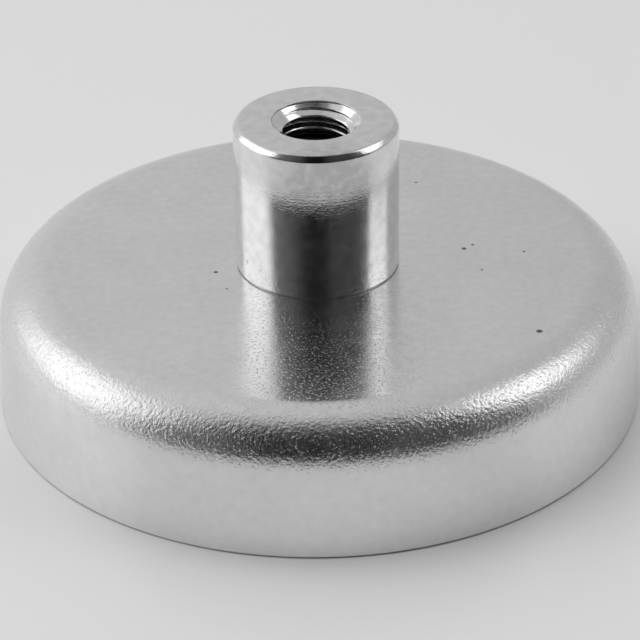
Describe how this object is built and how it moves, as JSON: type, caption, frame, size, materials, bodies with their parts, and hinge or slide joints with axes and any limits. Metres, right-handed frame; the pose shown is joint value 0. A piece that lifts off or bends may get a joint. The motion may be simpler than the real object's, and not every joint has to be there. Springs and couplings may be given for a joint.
{
  "type": "magnet fishing magnet",
  "caption": "Round steel pot magnet with a rounded shoulder and a central threaded bush, for a screwed-in eyebolt and rope.",
  "frame": {"origin": "centre of the working face, in the plane of the steel rim that the magnet stands on", "axes": "+Z along the bush, out of its threaded hole; X and Y are free, because the part is round"},
  "size_m": [0.05, 0.05, 0.0225],
  "materials": {
    "plated_steel": "bright zinc plate, fine orange peel on the shoulder",
    "turned_steel": "turned and bright zinc plated",
    "nickel_magnet": "satin nickel plate",
    "epoxy": "glossy black potting resin"
  },
  "bodies": {
    "root": {"steel_cup": "plated_steel", "threaded_bush": "turned_steel", "ring_magnet": "nickel_magnet", "magnet_adhesive": "epoxy", "outer_resin_ring": "epoxy", "centre_resin_plug": "epoxy"}
  },
  "joints": []
}
